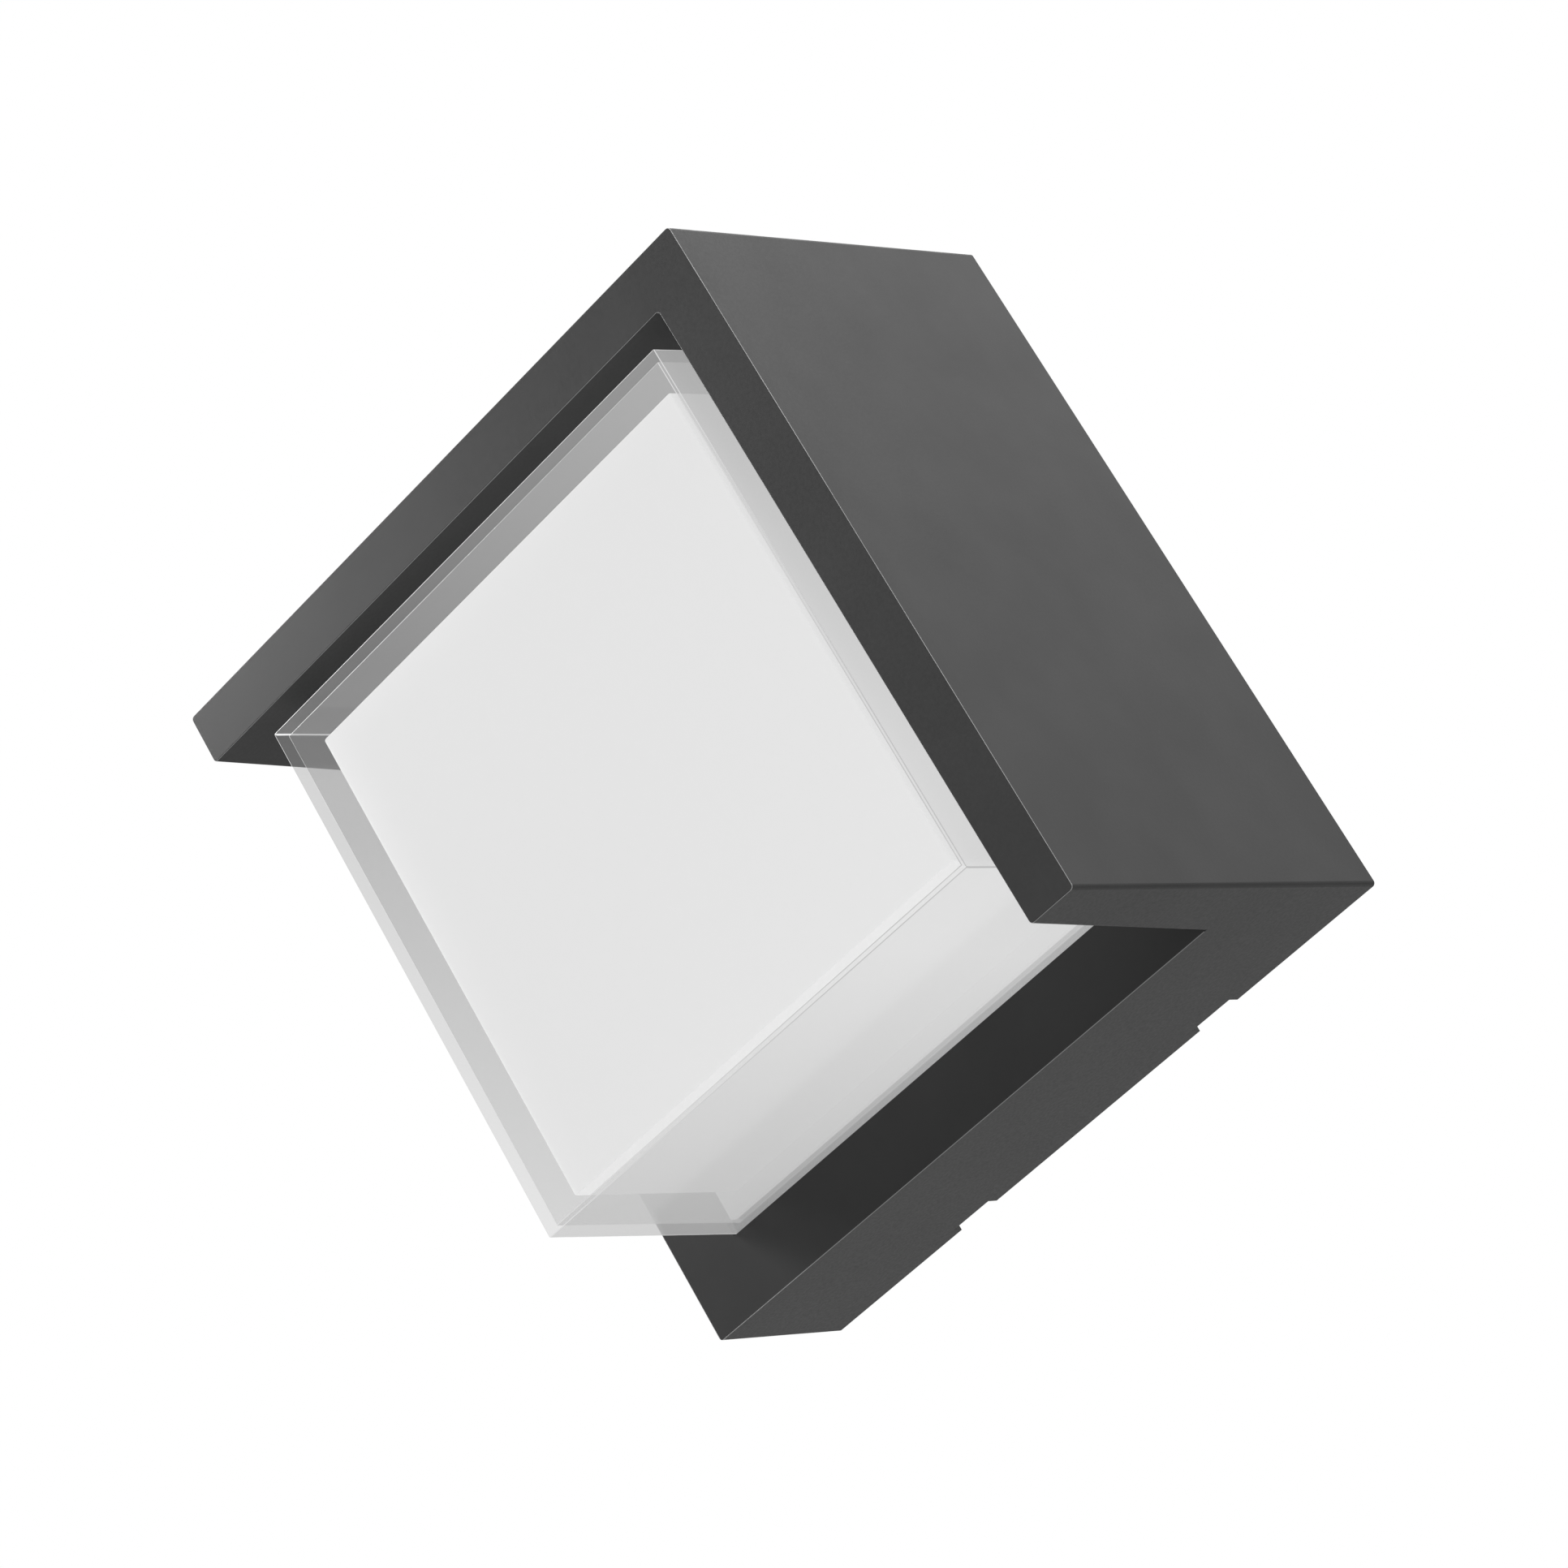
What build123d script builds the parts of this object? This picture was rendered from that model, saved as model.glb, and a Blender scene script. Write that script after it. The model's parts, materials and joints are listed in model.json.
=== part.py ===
from build123d import *
from math import atan, cos, degrees, pi, radians, sin, tan
import os

os.makedirs("parts", exist_ok=True)

# Frame: wall plane at Y = 0, lantern in front of it towards -Y, +Z up, +X to the right
# as seen from the front. Lengths in millimetres, angles in degrees.

# Casting
SIDE = 150.0             # side of the square rear rim
DEPTH = 93.5             # wall to the front of the wings and of the clear cover
BOX_DEPTH = 38.2         # wall to the front plate of the rear box
DRAFT = 1.67             # draft of the cast faces
WALL = 3.0               # wall of the casting
WING_FACE = 60.0         # inner face of both wings at the front plate, from the centre
LONG_EDGE_R = 0.8        # corners that run front to back
FRONT_EDGE_R = 0.2       # edges round the front faces
NOTCH_X = 33.5           # pry notches in the bottom rim, either side of the centre
NOTCH_WIDTH = 10.1
NOTCH_DEPTH = 2.8
SLOPE = tan(radians(DRAFT))
PLATE_REAR = BOX_DEPTH - WALL
RIB_WIDTH = 2.0
RIB_AT = (-36.0, 0.0, 36.0)
RIB_START = 20.0
RIB_LAP = 0.8            # overlap of a rib with the walls it joins
BLIND = 2.0              # material left past the end of a blind hole
SCREW_STOP = BOX_DEPTH - 3.0  # tips of the screws driven into bosses from behind

# Sealed compartment behind the front plate
RIM_HALF = 63.0          # outside of the sealing rim
RIM_CHAMFER = 14.0
RIM_TOP = 15.0
LID_REAR = 12.0
LID_THICK = 2.0
LID_CORNER_R = 4.0
LID_SCREW_AT = 58.5
LID_HOLE = 12.0
LID_SCREW_LONG = 11.0
M3 = 1.5                 # nominal screw radii
M4 = 2.0
THREAD_GAP = 0.05
CLEAR_M3 = 1.7
LOOSE = 0.1              # play round a loose part
GASKET_INSET = 0.3
GASKET_WIDE = 2.2
BOSS_R = 4.5
SMALL_BOSS_R = 3.5
BOARD_BOSS_TOP = PLATE_REAR - 4.0

# Clear cover and its groove
COVER_ROOT = 59.25       # half side where the cover meets the front plate
COVER_FRONT = 56.85      # half side at the front
COVER_WALL = 1.65
COVER_EDGE_R = 0.3
COVER_SLOPE = (COVER_ROOT - COVER_FRONT) / (DEPTH - BOX_DEPTH)
COVER_DRAFT = degrees(atan(COVER_SLOPE))
COVER_FOOT = 1.5         # length of cover wall inside the groove
GROOVE_DEPTH = 2.2
GROOVE_OUT = 59.45
GROOVE_IN = 57.4
GROOVE_CORNER_R = 1.0
GROOVE_RIB_OUT = 61.5
GROOVE_RIB_IN = 54.8
GROOVE_RIB = 1.2

# Opal diffuser
OPAL_FRONT = 87.5
OPAL_ROOT = 53.5         # half side at the front plate
OPAL_DRAFT = 2.09
OPAL_EDGE_R = 0.5
OPAL_WALL = 1.8
OPAL_FLANGE = 57.3
OPAL_FLANGE_THICK = 1.3
OPAL_BOSS_AT = 48.4
OPAL_BOSS_END = BOX_DEPTH + 14.0
OPAL_SCREW_TIP = 47.0
SEAL_WASHER_R = 4.0
SEAL_WASHER_THICK = 1.0

# Light engine
PAD_THICK = 0.5
BOARD_HALF = 48.0
BOARD_CHAMFER = 18.0
BOARD_THICK = 1.6
BOARD_REAR = BOX_DEPTH + PAD_THICK
BOARD_FRONT = BOARD_REAR + BOARD_THICK
BOARD_SCREWS = ((-42.0, -14.0), (-42.0, 14.0), (42.0, -14.0), (42.0, 14.0))
BOARD_SCREW_TIP = 33.7
CHIP_PITCH = 14.0
CHIP_ROWS = 6
CHIP_WIDE = 2.8
CHIP_TALL = 3.5
CHIP_THICK = 0.7
LEAD_HOLE_X = -28.0
LEAD_HOLE_R = 4.0
LEAD_HOLE_PLAY = 0.5      # the hole is this much larger in the board and the pad
LEAD_SPACING = 1.3
GROMMET_LIP = 1.5
PLUG_X = -14.0
PLUG_WIDE = 9.0
PLUG_TALL = 6.4
PLUG_THICK = 4.0
PLUG_EDGE_R = 0.4
PLUG_HOLE_R = 1.0
PLUG_HOLE = 3.0
PLUG_LEVEL = BOARD_FRONT + 2.0

# Driver
DRIVER_HALF = 34.0
DRIVER_Z = 35.0
DRIVER_TALL = 30.0
DRIVER_REAR = 18.2
DRIVER_WALL = 1.2
DRIVER_CAP = 2.0
DRIVER_EAR = 7.5
DRIVER_EAR_THICK = 1.5
DRIVER_EAR_TALL = 9.0
DRIVER_SCREW_X = 38.0
DC_Z = (36.0, 33.0)
MAINS_Z = (27.0, 24.0)

# Terminal block and earth point
TERMINAL_Z = -36.0
TERMINAL_WIDE = 30.0
TERMINAL_TALL = 12.0
TERMINAL_REAR = 19.2
POLE_X = (-9.0, 0.0, 9.0)
TERMINAL_EDGE_R = 0.8
WIRE_ENTRY_R = 1.6
WIRE_IN = 4.0            # length of a lead inside the terminal block
CLAMP_Z = (-39.0, -33.0)
CLAMP_R = 1.7
CLAMP_SUNK = 0.4
CLAMP_SLOT = 0.6
CLAMP_SLOT_DEEP = 0.8
BLOCK_SCREW_X = (-4.5, 4.5)
BLOCK_SCREW_R = 1.25
BLOCK_HEAD_SEAT = 22.5
WIRE_LEVEL = 25.0
EARTH_X = -32.0
EARTH_Z = -30.0
EARTH_TOP = 29.2
RING_THICK = 0.8
RING_R = 4.2
NECK_AT = 5.0            # neck and barrel of the ring terminal, above its centre
NECK_WIDE = 3.0
NECK_TALL = 4.0
BARREL_AT = 9.0
BARREL_R = 1.6
BARREL_LONG = 5.0

# Leads
MAINS_R = 1.1
DC_R = 0.8
MAINS_BEND = 5.0
DC_BEND = 4.0
LIVE_TURN_Z = -21.0      # levels and sides where the leads turn
NEUTRAL_TURN_Z = -17.0
EARTH_TURN_Z = -12.0
LIVE_X = 50.5
NEUTRAL_X = 46.5
POSITIVE_X = -49.0
NEGATIVE_X = -46.0

# Cable gland
GLAND_BORE = 4.2
GLAND_THREAD = 8.0
GLAND_FLATS = 22.0
GLAND_FLANGE = 9.0
GLAND_TIP = 20.0
GLAND_MOUTH = 4.5
GLAND_SEAL_R = 6.3
GLAND_SEAL_SEAT = 10.0
CAP_REAR = 1.5
CAP_R = 10.4
CAP_ROOF = 1.9
CAP_GAP = 0.3            # gap between the cap and the flange of the body
CAP_EDGE_R = 1.4
CAP_GRIPS = 12
CAP_GRIP = 1.2
CAP_GRIP_REAR = 4.0
NUT_THICK = 3.0
VENT_X = -36.0
VENT_Z = -36.0
VENT_R = 4.0
VENT_CAP = 1.6           # thickness and overhang of the vent cap
VENT_CAP_EDGE_R = 0.6
VENT_SKIN = 0.8
VENT_STEM = 2.0

# Wall bracket
BRACKET_THICK = 1.5
BRACKET_REACH = 66.0
BRACKET_ARM = 44.0
BRACKET_CORNER_R = 3.0
BRACKET_HOLE_R = 14.0
SLOT_X = 42.0
SLOT_LONG = 12.0
SLOT_WIDE = 5.0
SPARE_HOLE_Z = 40.0
SPARE_HOLE_R = 2.4
TAB_END = 10.0
TAB_WIDE = 22.0
CLIP_THICK = 0.5
CLIP_WIDE = 12.0
CLIP_BEND = 0.8
CLIP_FOOT = BRACKET_REACH + CLIP_THICK / 2
# bowed strip of a clip: distance from the centre, distance from the wall
CLIP_LINE = ((CLIP_FOOT, 3.6), (CLIP_FOOT, 10.9), (68.4, 10.9), (71.0, 6.0), (69.2, 2.6))
RIVET_Y = 6.2
RIVET_R = 1.5
RIVET_HEAD_R = 2.3
RIVET_HEAD = 0.8

# Proportions of the pan heads, in screw radii
HEAD_R = 1.9
HEAD_H = 1.3
RECESS_LONG = 2.2
RECESS_WIDE = 0.5
RECESS_DEEP = 0.7

FOUR_WAYS = ((-1, -1), (-1, 1), (1, -1), (1, 1))


def ahead(distance):
    """Plane parallel to the wall at a distance in front of it, facing the front."""
    return Plane.XZ.offset(distance)


def post(x, z, start, end, radius, mode=Mode.ADD):
    """Cylinder between two distances from the wall."""
    low = min(start, end)
    with Locations(ahead(low).location * Pos(x, z, 0)):
        Cylinder(radius, abs(end - start), align=(Align.CENTER, Align.CENTER, Align.MIN), mode=mode)


def block(x, z, start, end, wide, tall, mode=Mode.ADD):
    """Rectangular block between two distances from the wall."""
    low = min(start, end)
    with Locations(ahead(low).location * Pos(x, z, 0)):
        Box(wide, tall, abs(end - start), align=(Align.CENTER, Align.CENTER, Align.MIN), mode=mode)


def screw(x, z, seat, tip, radius):
    """Pan head screw with a cross recess; the head stands on the side away from the tip."""
    out = 1 if seat > tip else -1
    top = seat + out * HEAD_H * radius
    floor = top - out * RECESS_DEEP * radius
    post(x, z, seat, tip, radius)
    post(x, z, seat, top, HEAD_R * radius)
    block(x, z, top, floor, RECESS_LONG * radius, RECESS_WIDE * radius, mode=Mode.SUBTRACT)
    block(x, z, top, floor, RECESS_WIDE * radius, RECESS_LONG * radius, mode=Mode.SUBTRACT)


def runs_front_to_back(edge):
    """True for an edge that follows the depth of the lantern."""
    return abs((edge % 0.5).Y) > 0.9


def spoke(quarter):
    """Plane through the centre: local x outwards, local y the distance from the wall."""
    turn = quarter * pi / 2
    return Plane(origin=(0, 0, 0), x_dir=(cos(turn), 0, sin(turn)), z_dir=(sin(turn), 0, -cos(turn)))


def spoke_end(quarter, radius):
    """Plane facing outwards along a spoke, at the height of the rivets."""
    turn = quarter * pi / 2
    way = Vector(cos(turn), 0, sin(turn))
    return Plane(origin=way * radius + Vector(0, -RIVET_Y, 0), z_dir=way)


# Die-cast housing: rear box with a top wing and a right-hand wing
with BuildPart() as housing:
    with BuildSketch(Plane.XZ):
        Rectangle(SIDE, SIDE)
    extrude(amount=DEPTH, taper=DRAFT)
    with BuildSketch(ahead(BOX_DEPTH)):
        with Locations((WING_FACE, WING_FACE)):
            Rectangle(SIDE, SIDE, align=(Align.MAX, Align.MAX))
    extrude(amount=DEPTH - BOX_DEPTH, taper=-DRAFT, mode=Mode.SUBTRACT)
    fillet(housing.edges().filter_by(runs_front_to_back), radius=LONG_EDGE_R)
    fillet(housing.faces().sort_by(Axis.Y)[0].edges(), radius=FRONT_EDGE_R)
    # hollow of the rear box
    with BuildSketch(Plane.XZ):
        Rectangle(SIDE - 2 * WALL, SIDE - 2 * WALL)
    extrude(amount=PLATE_REAR, taper=DRAFT, mode=Mode.SUBTRACT)
    # core of the two wings
    core_in = WING_FACE + WALL
    core_out = SIDE / 2 - SLOPE * PLATE_REAR - WALL
    with BuildSketch(ahead(PLATE_REAR)):
        with BuildLine():
            Polyline(
                (-core_out, core_in),
                (core_in, core_in),
                (core_in, -core_out),
                (core_out, -core_out),
                (core_out, core_out),
                (-core_out, core_out),
                close=True,
            )
        make_face()
    extrude(amount=DEPTH - WALL - PLATE_REAR, taper=DRAFT, mode=Mode.SUBTRACT)
    # ribs across the cored wings
    rib_mid = (RIM_HALF + core_out) / 2
    rib_span = core_out - RIM_HALF + RIB_LAP
    for place in RIB_AT:
        block(rib_mid, place, RIB_START, DEPTH - WALL / 2, rib_span, RIB_WIDTH)
        block(place, rib_mid, RIB_START, DEPTH - WALL / 2, RIB_WIDTH, rib_span)
        block(-rib_mid, place, RIB_START, PLATE_REAR + WALL / 2, rib_span, RIB_WIDTH)
        block(place, -rib_mid, RIB_START, PLATE_REAR + WALL / 2, RIB_WIDTH, rib_span)
    # sealing rim of the compartment
    with BuildSketch(ahead(RIM_TOP)):
        rim_face = Rectangle(2 * RIM_HALF, 2 * RIM_HALF)
        chamfer(rim_face.vertices(), RIM_CHAMFER)
        offset(amount=-WALL, kind=Kind.INTERSECTION, mode=Mode.SUBTRACT)
    extrude(amount=PLATE_REAR - RIM_TOP + WALL / 2)
    # thickening behind the cover groove
    with BuildSketch(ahead(PLATE_REAR - GROOVE_RIB)):
        Rectangle(2 * GROOVE_RIB_OUT, 2 * GROOVE_RIB_OUT)
        Rectangle(2 * GROOVE_RIB_IN, 2 * GROOVE_RIB_IN, mode=Mode.SUBTRACT)
    extrude(amount=GROOVE_RIB + WALL / 2)
    # bosses, pads and their holes
    for sx, sz in FOUR_WAYS:
        x = sx * LID_SCREW_AT
        z = sz * LID_SCREW_AT
        post(x, z, LID_REAR + LID_THICK, PLATE_REAR + WALL / 2, BOSS_R)
        post(x, z, LID_REAR, LID_REAR + LID_HOLE, M3 + THREAD_GAP, Mode.SUBTRACT)
        post(sx * OPAL_BOSS_AT, sz * OPAL_BOSS_AT, PLATE_REAR, BOX_DEPTH, CLEAR_M3, Mode.SUBTRACT)
    for x, z in BOARD_SCREWS:
        post(x, z, BOARD_BOSS_TOP, PLATE_REAR + WALL / 2, SMALL_BOSS_R)
        post(x, z, BOARD_BOSS_TOP + BLIND, BOX_DEPTH, M3 + THREAD_GAP, Mode.SUBTRACT)
    for sx in (-1, 1):
        post(sx * DRIVER_SCREW_X, DRIVER_Z, BOARD_BOSS_TOP, PLATE_REAR + WALL / 2, SMALL_BOSS_R)
        end = BOX_DEPTH - BLIND
        post(sx * DRIVER_SCREW_X, DRIVER_Z, BOARD_BOSS_TOP, end, M3 + THREAD_GAP, Mode.SUBTRACT)
    block(0, TERMINAL_Z, BOARD_BOSS_TOP, PLATE_REAR + WALL / 2, TERMINAL_WIDE, TERMINAL_TALL)
    for x in BLOCK_SCREW_X:
        post(x, TERMINAL_Z, BOARD_BOSS_TOP, BOX_DEPTH - BLIND, BLOCK_SCREW_R + THREAD_GAP, Mode.SUBTRACT)
    post(EARTH_X, EARTH_Z, EARTH_TOP, PLATE_REAR + WALL / 2, BOSS_R)
    post(EARTH_X, EARTH_Z, EARTH_TOP, BOX_DEPTH - BLIND, M4 + THREAD_GAP, Mode.SUBTRACT)
    post(LEAD_HOLE_X, 0, PLATE_REAR, BOX_DEPTH, LEAD_HOLE_R, Mode.SUBTRACT)
    # groove for the foot of the clear cover
    with BuildSketch(ahead(BOX_DEPTH - GROOVE_DEPTH)):
        Rectangle(2 * GROOVE_OUT, 2 * GROOVE_OUT)
        RectangleRounded(2 * GROOVE_IN, 2 * GROOVE_IN, GROOVE_CORNER_R, mode=Mode.SUBTRACT)
    extrude(amount=GROOVE_DEPTH, mode=Mode.SUBTRACT)
    # pry notches in the bottom rim
    for sx in (-1, 1):
        block(sx * NOTCH_X, -SIDE / 2, 0, NOTCH_DEPTH, NOTCH_WIDTH, 3 * WALL, Mode.SUBTRACT)
housing.part.label = "housing"
export_step(housing.part, "parts/housing.step")

# Clear outer cover, open towards the front plate
with BuildPart() as clear_cover:
    foot = COVER_ROOT + COVER_SLOPE * COVER_FOOT
    with BuildSketch(ahead(BOX_DEPTH - COVER_FOOT)):
        Rectangle(2 * foot, 2 * foot)
    extrude(amount=DEPTH - BOX_DEPTH + COVER_FOOT, taper=COVER_DRAFT)
    fillet(clear_cover.edges().filter_by(runs_front_to_back), radius=COVER_EDGE_R)
    fillet(clear_cover.faces().sort_by(Axis.Y)[0].edges(), radius=COVER_EDGE_R / 2)
    with BuildSketch(ahead(BOX_DEPTH - COVER_FOOT)):
        Rectangle(2 * (foot - COVER_WALL), 2 * (foot - COVER_WALL))
    extrude(amount=DEPTH - BOX_DEPTH + COVER_FOOT - COVER_WALL, taper=COVER_DRAFT, mode=Mode.SUBTRACT)
    ceiling = clear_cover.faces().filter_by(Axis.Y).sort_by(Axis.Y)[1]
    fillet(ceiling.edges(), radius=COVER_EDGE_R / 2)
clear_cover.part.label = "clear_cover"
export_step(clear_cover.part, "parts/clear_cover.step")

# Silicone bed under the foot of the clear cover
with BuildPart() as cover_seal:
    with BuildSketch(ahead(BOX_DEPTH - GROOVE_DEPTH)):
        Rectangle(2 * GROOVE_OUT, 2 * GROOVE_OUT)
        RectangleRounded(2 * GROOVE_IN, 2 * GROOVE_IN, GROOVE_CORNER_R, mode=Mode.SUBTRACT)
    extrude(amount=GROOVE_DEPTH - COVER_FOOT)
cover_seal.part.label = "cover_seal"
export_step(cover_seal.part, "parts/cover_seal.step")

# Opal diffuser: flanged box with four screw bosses in its corners
with BuildPart() as opal_diffuser:
    with BuildSketch(ahead(BOX_DEPTH)):
        Rectangle(2 * OPAL_ROOT, 2 * OPAL_ROOT)
    extrude(amount=OPAL_FRONT - BOX_DEPTH, taper=OPAL_DRAFT)
    fillet(opal_diffuser.edges().filter_by(runs_front_to_back), radius=OPAL_EDGE_R)
    fillet(opal_diffuser.faces().sort_by(Axis.Y)[0].edges(), radius=OPAL_EDGE_R / 2)
    with BuildSketch(ahead(BOX_DEPTH)):
        RectangleRounded(2 * OPAL_FLANGE, 2 * OPAL_FLANGE, OPAL_EDGE_R)
    extrude(amount=OPAL_FLANGE_THICK)
    with BuildSketch(ahead(BOX_DEPTH)):
        Rectangle(2 * (OPAL_ROOT - OPAL_WALL), 2 * (OPAL_ROOT - OPAL_WALL))
    extrude(amount=OPAL_FRONT - OPAL_WALL - BOX_DEPTH, taper=OPAL_DRAFT, mode=Mode.SUBTRACT)
    for sx, sz in FOUR_WAYS:
        x = sx * OPAL_BOSS_AT
        z = sz * OPAL_BOSS_AT
        post(x, z, BOX_DEPTH, OPAL_BOSS_END, SMALL_BOSS_R)
        post(x, z, BOX_DEPTH, OPAL_BOSS_END - BLIND, M3 + THREAD_GAP, Mode.SUBTRACT)
opal_diffuser.part.label = "opal_diffuser"
export_step(opal_diffuser.part, "parts/opal_diffuser.step")

# Screws that pull the diffuser onto the front plate from behind
with BuildPart() as diffuser_screws:
    for sx, sz in FOUR_WAYS:
        screw(sx * OPAL_BOSS_AT, sz * OPAL_BOSS_AT, PLATE_REAR - SEAL_WASHER_THICK, OPAL_SCREW_TIP, M3)
diffuser_screws.part.label = "diffuser_screws"
export_step(diffuser_screws.part, "parts/diffuser_screws.step")

# Sealing washers under those screws
with BuildPart() as diffuser_washers:
    for sx, sz in FOUR_WAYS:
        x = sx * OPAL_BOSS_AT
        z = sz * OPAL_BOSS_AT
        post(x, z, PLATE_REAR - SEAL_WASHER_THICK, PLATE_REAR, SEAL_WASHER_R)
        post(x, z, PLATE_REAR - BLIND, PLATE_REAR, M3 + THREAD_GAP, Mode.SUBTRACT)
diffuser_washers.part.label = "diffuser_washers"
export_step(diffuser_washers.part, "parts/diffuser_washers.step")

# Heat-transfer pad behind the light engine
with BuildPart() as thermal_pad:
    with BuildSketch(ahead(BOX_DEPTH)):
        pad_face = Rectangle(2 * BOARD_HALF, 2 * BOARD_HALF)
        chamfer(pad_face.vertices(), BOARD_CHAMFER)
        with Locations(BOARD_SCREWS):
            Circle(CLEAR_M3, mode=Mode.SUBTRACT)
        with Locations((LEAD_HOLE_X, 0)):
            Circle(LEAD_HOLE_R + LEAD_HOLE_PLAY, mode=Mode.SUBTRACT)
    extrude(amount=PAD_THICK)
thermal_pad.part.label = "thermal_pad"
export_step(thermal_pad.part, "parts/thermal_pad.step")

# Metal-core circuit board that carries the light sources
with BuildPart() as led_board:
    with BuildSketch(ahead(BOARD_REAR)):
        board_face = Rectangle(2 * BOARD_HALF, 2 * BOARD_HALF)
        chamfer(board_face.vertices(), BOARD_CHAMFER)
        with Locations(BOARD_SCREWS):
            Circle(CLEAR_M3, mode=Mode.SUBTRACT)
        with Locations((LEAD_HOLE_X, 0)):
            Circle(LEAD_HOLE_R + LEAD_HOLE_PLAY, mode=Mode.SUBTRACT)
    extrude(amount=BOARD_THICK)
led_board.part.label = "led_board"
export_step(led_board.part, "parts/led_board.step")

# Light-emitting chips in a square grid
with BuildPart() as led_chips:
    with BuildSketch(ahead(BOARD_FRONT)):
        with GridLocations(CHIP_PITCH, CHIP_PITCH, CHIP_ROWS, CHIP_ROWS):
            Rectangle(CHIP_WIDE, CHIP_TALL)
    extrude(amount=CHIP_THICK)
led_chips.part.label = "led_chips"
export_step(led_chips.part, "parts/led_chips.step")

# Screws that clamp the board and the pad to the front plate
with BuildPart() as board_screws:
    for x, z in BOARD_SCREWS:
        screw(x, z, BOARD_FRONT, BOARD_SCREW_TIP, M3)
board_screws.part.label = "board_screws"
export_step(board_screws.part, "parts/board_screws.step")

# Two-pole connector on the board
with BuildPart() as board_connector:
    block(PLUG_X, 0, BOARD_FRONT, BOARD_FRONT + PLUG_THICK, PLUG_WIDE, PLUG_TALL)
    fillet(board_connector.faces().sort_by(Axis.Y)[0].edges(), radius=PLUG_EDGE_R)
    for side in (-1, 1):
        with Locations((PLUG_X - PLUG_WIDE / 2, -PLUG_LEVEL, side * LEAD_SPACING)):
            Cylinder(PLUG_HOLE_R, 2 * PLUG_HOLE, rotation=(0, 90, 0), mode=Mode.SUBTRACT)
board_connector.part.label = "board_connector"
export_step(board_connector.part, "parts/board_connector.step")

# Rubber bush that carries the two low-voltage leads through the front plate
with BuildPart() as lead_grommet:
    post(LEAD_HOLE_X, 0, PLATE_REAR, BOX_DEPTH, LEAD_HOLE_R - THREAD_GAP)
    post(LEAD_HOLE_X, 0, PLATE_REAR - GROMMET_LIP, PLATE_REAR, LEAD_HOLE_R + GROMMET_LIP)
    for side in (-1, 1):
        start = PLATE_REAR - 2 * GROMMET_LIP
        post(LEAD_HOLE_X, side * LEAD_SPACING, start, BOX_DEPTH, DC_R + LOOSE, Mode.SUBTRACT)
lead_grommet.part.label = "lead_grommet"
export_step(lead_grommet.part, "parts/lead_grommet.step")

# Driver case: a rectangular tube
with BuildPart() as driver_case:
    block(0, DRIVER_Z, DRIVER_REAR, PLATE_REAR, 2 * DRIVER_HALF, DRIVER_TALL)
    block(
        0,
        DRIVER_Z,
        DRIVER_REAR + DRIVER_WALL,
        PLATE_REAR - DRIVER_WALL,
        2 * DRIVER_HALF,
        DRIVER_TALL - 2 * DRIVER_WALL,
        mode=Mode.SUBTRACT,
    )
driver_case.part.label = "driver_case"
export_step(driver_case.part, "parts/driver_case.step")

# End plugs of the driver case, with the lead entries and the fixing ears
with BuildPart() as driver_caps:
    for sx, entries, hole in ((-1, DC_Z, DC_R), (1, MAINS_Z, MAINS_R)):
        cap_x = sx * (DRIVER_HALF - DRIVER_CAP / 2)
        tall = DRIVER_TALL - 2 * DRIVER_WALL
        block(cap_x, DRIVER_Z, DRIVER_REAR + DRIVER_WALL, PLATE_REAR - DRIVER_WALL, DRIVER_CAP, tall)
        ear_x = sx * (DRIVER_HALF + DRIVER_EAR / 2 - DRIVER_CAP / 2)
        ear_wide = DRIVER_EAR + DRIVER_CAP
        block(ear_x, DRIVER_Z, BOARD_BOSS_TOP - DRIVER_EAR_THICK, BOARD_BOSS_TOP, ear_wide, DRIVER_EAR_TALL)
        post(sx * DRIVER_SCREW_X, DRIVER_Z, BOARD_BOSS_TOP - BLIND, BOARD_BOSS_TOP, CLEAR_M3, Mode.SUBTRACT)
        for z in entries:
            with Locations((cap_x, -WIRE_LEVEL, z)):
                Cylinder(hole + THREAD_GAP, 3 * DRIVER_CAP, rotation=(0, 90, 0), mode=Mode.SUBTRACT)
driver_caps.part.label = "driver_caps"
export_step(driver_caps.part, "parts/driver_caps.step")

# Potted electronics that fill the case
with BuildPart() as driver_core:
    core_wide = 2 * (DRIVER_HALF - DRIVER_CAP)
    core_tall = DRIVER_TALL - 2 * DRIVER_WALL
    block(0, DRIVER_Z, DRIVER_REAR + DRIVER_WALL, PLATE_REAR - DRIVER_WALL, core_wide, core_tall)
driver_core.part.label = "driver_core"
export_step(driver_core.part, "parts/driver_core.step")

# Screws through the driver ears
with BuildPart() as driver_screws:
    for sx in (-1, 1):
        screw(sx * DRIVER_SCREW_X, DRIVER_Z, BOARD_BOSS_TOP - DRIVER_EAR_THICK, SCREW_STOP, M3)
driver_screws.part.label = "driver_screws"
export_step(driver_screws.part, "parts/driver_screws.step")

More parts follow.
